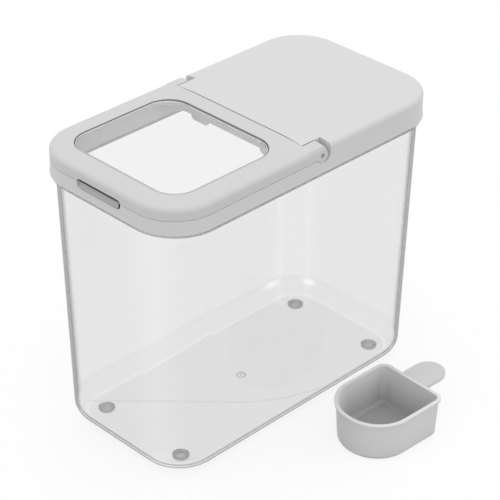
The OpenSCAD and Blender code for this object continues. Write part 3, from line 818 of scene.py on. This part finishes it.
class RICEBIN_OT_tub(bpy.types.Operator):
    """Models the clear tub: drafted walls, rolled lower edge, bead and rim"""

    bl_idname = "ricebin.tub"
    bl_label = "Tub"

    def execute(self, context):
        size = context.scene.ricebin_tub
        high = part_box("tub")[1]
        half_x, half_y = high.x - size.seat, high.y - size.seat
        corner_x, corner_y = half_x - size.corner, half_y - size.corner
        rim_z = high.z
        bead_top = rim_z - size.rim_height
        bead_low = bead_top - size.bead_height

        def past_wall(point, over):
            x, y = abs(point.x), abs(point.y)
            if x > corner_x and y > corner_y:
                return math.hypot(x - corner_x, y - corner_y) > size.corner + over
            return x > half_x + over or y > half_y + over

        def outside_band(c, n):
            outward = n.x * c.x + n.y * c.y > 0
            return bead_low < c.z < bead_top and abs(n.z) < 0.3 and outward and past_wall(c, -1.2 * MM)

        def bead_edge(a, b):
            level = at_height(bead_low)(a, b) or at_height(bead_top)(a, b)
            return level and past_wall((a + b) / 2, 0.5 * size.bead)

        tub = add_block("tub_clear_shell", (-half_x, -half_y, 0), (half_x, half_y, rim_z))
        pick(tub, "VERT", on_ground)
        bpy.ops.transform.resize(value=((half_x - size.draft) / half_x, (half_y - size.draft) / half_y, 1))
        done()
        bevel_edges(tub, is_upright, size.corner, 18)
        bevel_edges(tub, at_height(0), size.foot_round, 9)
        pick(tub, "FACE", lambda c, n: n.z > 0.9)
        bpy.ops.mesh.delete(type="FACE")
        done()
        apply_modifier(tub, "SOLIDIFY", thickness=size.wall, offset=-1, use_even_offset=True)
        cut_loop(tub, bead_low)
        cut_loop(tub, bead_top)
        pick(tub, "FACE", outside_band)
        bpy.ops.mesh.extrude_region_move()
        bpy.ops.transform.shrink_fatten(value=size.bead, use_even_offset=True)
        done()
        bevel_edges(tub, bead_edge, 0.4 * MM, 2)
        bevel_edges(tub, at_height(rim_z), 0.5 * MM, 2)
        for node in FEET:
            low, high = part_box(node)
            mid, radius = (low + high) / 2, (high.x - low.x) / 2
            top = high.z + 0.05 * MM
            cut_away(tub, add_round("foot_pocket", (mid.x, mid.y, top - 1 * MM), radius + 0.1 * MM, 2 * MM))
        cut_away(tub, add_round("gate_dish", (0, 0, -0.7 * MM), 4.5 * MM, 2 * MM))
        cut_away(tub, add_round("gate_dimple", (0, 0, -0.3 * MM), 1.2 * MM, 2 * MM, sides=24))
        smooth(tub, 35)
        place(tub, "bin", finish("Tub plastic"), "tub_clear", ["tub"])
        return {"FINISHED"}


class RICEBIN_OT_feet(bpy.types.Operator):
    """Models the four round feet, each with a soft edge and a ring in its sole"""

    bl_idname = "ricebin.feet"
    bl_label = "Feet"

    def execute(self, context):
        for node in FEET:
            low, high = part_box(node)
            mid, radius = (low + high) / 2, (high.x - low.x) / 2

            def sole_or_top_rim(a, b):
                return is_level(a, b) and abs((a - mid).xy.length - radius) < TOUCH

            pad = add_round(node + "_pad", mid, radius, high.z - low.z)
            pick(pad, "FACE", lambda c, n: n.z < -0.9)
            bpy.ops.mesh.inset(thickness=radius * 0.36, depth=0)
            bpy.ops.mesh.inset(thickness=radius * 0.14, depth=-0.5 * MM)
            bpy.ops.mesh.inset(thickness=0.1 * MM, depth=0.4 * MM)
            done()
            bevel_edges(pad, sole_or_top_rim, 0.5 * MM, 3)
            smooth(pad, 40)
            place(pad, "bin", finish("Foot rubber"), "foot_pad", [node])
        return {"FINISHED"}


class RICEBIN_OT_lid(bpy.types.Operator):
    """Softens the lid body's edges and gives the lid, its seals and its pins their finishes"""

    bl_idname = "ricebin.lid"
    bl_label = "Lid body"

    def execute(self, context):
        lid = softened_copy("lid_body", "lid_body_moulded", 0.35 * MM)
        place(lid, "lid", finish("Lid plastic"), "lid_grey", ["lid_body"])
        for node in ("rim_seal", "filler_seal"):
            dress_node(node, finish("Seal rubber"))
        for node in ("hinge_pin_left", "hinge_pin_right"):
            dress_node(node, finish("Drawn steel"))
        dress_node("latch_cover", finish("Frame plastic"))
        return {"FINISHED"}


class RICEBIN_OT_flip_lid(bpy.types.Operator):
    """Softens the flip lid's edges"""

    bl_idname = "ricebin.flip_lid"
    bl_label = "Flip lid"

    def execute(self, context):
        flip = softened_copy("flip_lid", "flip_lid_moulded", 0.35 * MM)
        place(flip, "flip", finish("Flip lid plastic"), "lid_grey", ["flip_lid"])
        return {"FINISHED"}


class RICEBIN_OT_window(bpy.types.Operator):
    """Models the clear window pane and its frame"""

    bl_idname = "ricebin.window"
    bl_label = "Window"

    def execute(self, context):
        size = context.scene.ricebin_window
        low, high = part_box("window_pane")
        top = high.z + size.rise
        edge = Vector((size.flange, size.flange, 0))
        rim = add_block("window_rim", low + edge, (high.x - size.flange, high.y - size.flange, top))
        bevel_edges(rim, is_upright, size.corner, 16)
        edge += Vector((size.rim, size.rim, 0))
        core_low, core_high = low + edge, high - edge
        core = add_block(
            "window_core",
            (core_low.x, core_low.y, low.z - 1 * MM),
            (core_high.x, core_high.y, top + 1 * MM),
        )
        bevel_edges(core, is_upright, size.corner - size.rim, 16)
        cut_away(rim, core)
        pane = add_block(
            "window_pane_clear",
            (core_low.x + size.gap, core_low.y + size.gap, top - size.thickness - size.gap),
            (core_high.x - size.gap, core_high.y - size.gap, top - size.gap),
        )
        bevel_edges(pane, is_upright, size.corner - size.rim - size.gap, 16)
        bevel_edges(pane, is_level, 0.25 * MM, 2)
        smooth(pane, 40)
        place(pane, "flip", finish("Window plastic"), "window_clear", ["window_pane"])
        holder = softened_copy("window_frame", "window_frame_moulded", 0.25 * MM)
        bevel_edges(rim, at_height(top), 0.2 * MM, 2)
        smooth(rim, 40)
        join(holder, rim)
        place(holder, "flip", finish("Frame plastic"), "frame_grey", ["window_frame"])
        return {"FINISHED"}


class RICEBIN_OT_latch(bpy.types.Operator):
    """Softens the latch button's edges, cuts its finger groove and rounds the wire of its two springs"""

    bl_idname = "ricebin.latch"
    bl_label = "Latch button"

    def execute(self, context):
        size = context.scene.ricebin_latch
        button = softened_copy("latch_button", "latch_button_moulded", 0.3 * MM)
        front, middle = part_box("latch_button")[0].y, size.middle
        groove = add_block(
            "finger_groove",
            (-size.groove_length / 2, front - size.groove_depth, middle - size.groove_height),
            (size.groove_length / 2, front + size.groove_depth, middle + size.groove_height),
        )
        pick(groove, "VERT", lambda co: co.y > front)
        bpy.ops.transform.resize(value=(0.98, 1, 0.02))
        done()
        cut_away(button, groove)
        smooth(button, 30)
        place(button, "button", finish("Button plastic"), "button_grey", ["latch_button"])
        for node in ("latch_spring_left", "latch_spring_right"):
            coil = softened_copy(node, node + "_coil", 0.1 * MM)
            place(coil, "lid", finish("Drawn steel"), "spring_steel", [node])
            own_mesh(coil)
        return {"FINISHED"}


class RICEBIN_OT_scoop(bpy.types.Operator):
    """Models the scoop: drafted cup with a flat back, a rolled lip and a flat handle"""

    bl_idname = "ricebin.scoop"
    bl_label = "Scoop"

    def execute(self, context):
        size = context.scene.ricebin_scoop
        half, middle_y = size.width / 2, -size.depth / 2
        lip_low = size.height - size.lip_height
        arc_middle = Vector((0, half - size.depth, 0))

        def front_corner(a, b):
            return is_upright(a, b) and a.y < middle_y

        def back_corner(a, b):
            at_side = min(abs(a.x), abs(b.x)) > 0.9 * half
            return is_upright(a, b) and at_side and min(a.y, b.y) > -0.2 * size.depth

        def outside_band(c, n):
            return c.z > lip_low and abs(n.z) < 0.3 and n.xy.dot((c - arc_middle).xy) > 0

        cup = add_block("scoop_cup", (-half, -size.depth, 0), (half, 0, size.height))
        pick(cup, "VERT", on_ground)
        lean = ((half - size.draft) / half, (middle_y + size.draft) / middle_y, 1)
        bpy.ops.transform.resize(value=lean, center_override=(0, middle_y, 0))
        done()
        bevel_edges(cup, front_corner, half - size.draft - 0.1 * MM, 20)
        bevel_edges(cup, back_corner, size.back_corner, 6)
        bevel_edges(cup, at_height(0), size.foot_round, 5)
        pick(cup, "FACE", lambda c, n: n.z > 0.9)
        bpy.ops.mesh.delete(type="FACE")
        done()
        apply_modifier(cup, "SOLIDIFY", thickness=size.wall, offset=-1, use_even_offset=True)
        cut_loop(cup, lip_low)
        pick(cup, "FACE", outside_band)
        bpy.ops.mesh.extrude_region_move()
        bpy.ops.transform.shrink_fatten(value=size.lip, use_even_offset=True)
        done()
        handle = add_block(
            "scoop_handle",
            (-size.handle_width / 2, -size.wall / 2, size.height - size.handle_thickness),
            (size.handle_width / 2, size.handle, size.height),
        )
        end_radius = size.handle_width / 2 - 0.02 * MM
        bevel_edges(handle, lambda a, b: is_upright(a, b) and a.y > 0.5 * size.handle, end_radius, 14)
        weld(cup, handle)
        apply_modifier(
            cup,
            "BEVEL",
            width=0.5 * MM,
            segments=3,
            limit_method="ANGLE",
            angle_limit=math.radians(40),
            miter_outer="MITER_ARC",
        )
        smooth(cup, 40)
        cup.data.transform(Matrix.Translation(Vector(size.place)) @ Matrix.Rotation(size.turn, 4, "Z"))
        place(cup, "scoop", finish("Scoop plastic"), "scoop_grey", ["scoop"])
        cup.visible_glossy = False
        return {"FINISHED"}


class RICEBIN_OT_stage(bpy.types.Operator):
    """Sets the floor, the soft studio light and the camera"""

    bl_idname = "ricebin.stage"
    bl_label = "Stage"

    def execute(self, context):
        stage = context.scene.ricebin_stage
        deselect_all()
        bpy.ops.mesh.primitive_plane_add(size=30, location=(0, 0, CAD_BOX[0][2] - 0.2 * MM))
        floor = bpy.context.active_object
        floor.name = "studio_floor"
        bpy.ops.object.transform_apply(location=True)
        floor.data.materials.append(self.floor_paint(stage))
        self.light_room(stage)
        self.aim_camera(stage)
        context.scene.view_settings.view_transform = "Standard"
        return {"FINISHED"}

    def seen_directly(self, tree):
        """One for rays of the camera, and for what shows in gloss and through clear plastic."""
        path = add_node(tree, "ShaderNodeLightPath").outputs
        seen = calc(tree, "MAXIMUM", path["Is Camera Ray"], path["Is Glossy Ray"])
        return calc(tree, "MAXIMUM", seen, path["Is Transmission Ray"]), path["Is Camera Ray"]

    def floor_paint(self, stage):
        """White floor that keeps part of the object's shadow."""
        material = bpy.data.materials.new("floor_white")
        material.use_nodes = True
        tree = material.node_tree
        tree.nodes.clear()
        seen, camera = self.seen_directly(tree)
        share = calc(tree, "MULTIPLY_ADD", camera, -0.15, seen)
        tone = map_range(tree, seen, 0.0, 1.0, stage.bounce, 0.98)
        diffuse = add_node(tree, "ShaderNodeBsdfDiffuse", {"Color": tone})
        glow = add_node(tree, "ShaderNodeEmission", {"Color": (1, 1, 1, 1), "Strength": 1.0})
        both = add_node(tree, "ShaderNodeMixShader", {0: share, 1: diffuse.outputs[0], 2: glow.outputs[0]})
        add_node(tree, "ShaderNodeOutputMaterial", {"Surface": both.outputs[0]})
        return material

    def light_room(self, stage):
        """A white room that is brighter above and looks plain white where it is seen directly."""
        world = bpy.data.worlds.new("studio_room")
        bpy.context.scene.world = world
        world.use_nodes = True
        tree = world.node_tree
        tree.nodes.clear()
        direction = add_node(tree, "ShaderNodeTexCoord").outputs["Generated"]
        split = add_node(tree, "ShaderNodeSeparateXYZ", {0: direction})
        rise = map_range(tree, split.outputs["Z"], -0.1, 0.9, stage.side, stage.sky)
        seen = self.seen_directly(tree)[0]
        strength = add_node(tree, "ShaderNodeMix", {"Factor": seen, "A": rise, "B": 1.0}).outputs["Result"]
        light = add_node(tree, "ShaderNodeBackground", {"Color": (1, 1, 1, 1), "Strength": strength})
        add_node(tree, "ShaderNodeOutputWorld", {"Surface": light.outputs[0]})

    def aim_camera(self, stage):
        """The camera at the photograph's viewing angle."""
        data = bpy.data.cameras.new("camera")
        data.lens = stage.lens
        data.sensor_width = 36.0
        data.clip_start = 0.05
        camera = bpy.data.objects.new("camera", data)
        bpy.context.scene.collection.objects.link(camera)
        az, el, roll = stage.azimuth, stage.elevation, stage.roll
        back = Vector((math.sin(az) * math.cos(el), -math.cos(az) * math.cos(el), math.sin(el)))
        right = Vector((math.cos(az), math.sin(az), 0))
        up = back.cross(right)
        x = right * math.cos(roll) + up * math.sin(roll)
        y = up * math.cos(roll) - right * math.sin(roll)
        facing = Matrix((x, y, back)).transposed().to_4x4()
        camera.matrix_world = Matrix.Translation(Vector(stage.camera_place)) @ facing
        bpy.context.scene.camera = camera


class RICEBIN_PT_panel(bpy.types.Panel):
    """Lists the pieces in the sidebar"""

    bl_label = "Rice bin"
    bl_idname = "RICEBIN_PT_panel"
    bl_space_type = "VIEW_3D"
    bl_region_type = "UI"
    bl_category = "Rice bin"

    def draw(self, context):
        for operator in OPERATORS:
            self.layout.operator(operator.bl_idname)
        for group in GROUPS:
            settings = getattr(context.scene, group)
            box = self.layout.box()
            for key in settings.__annotations__:
                box.prop(settings, key)


OPERATORS = (
    RICEBIN_OT_tub,
    RICEBIN_OT_feet,
    RICEBIN_OT_lid,
    RICEBIN_OT_flip_lid,
    RICEBIN_OT_window,
    RICEBIN_OT_latch,
    RICEBIN_OT_scoop,
    RICEBIN_OT_stage,
)
GROUPS = {
    "ricebin_finishes": FinishColours,
    "ricebin_tub": TubSizes,
    "ricebin_window": WindowSizes,
    "ricebin_latch": LatchSizes,
    "ricebin_scoop": ScoopSizes,
    "ricebin_stage": StageSettings,
}


def register():
    """Registers the classes and hangs the settings on the scene."""
    for cls in (*GROUPS.values(), *OPERATORS, RICEBIN_PT_panel):
        bpy.utils.register_class(cls)
    for name, cls in GROUPS.items():
        setattr(bpy.types.Scene, name, bpy.props.PointerProperty(type=cls))


def unregister():
    """Takes the settings and the classes away again."""
    for name in GROUPS:
        delattr(bpy.types.Scene, name)
    for cls in (RICEBIN_PT_panel, *reversed(OPERATORS), *reversed(GROUPS.values())):
        bpy.utils.unregister_class(cls)


def main():
    """Builds every piece in order and keeps the sizes."""
    register()
    for operator in OPERATORS:
        group, name = operator.bl_idname.split(".")
        getattr(getattr(bpy.ops, group), name)()
    deselect_all()


if __name__ == "__main__":
    main()
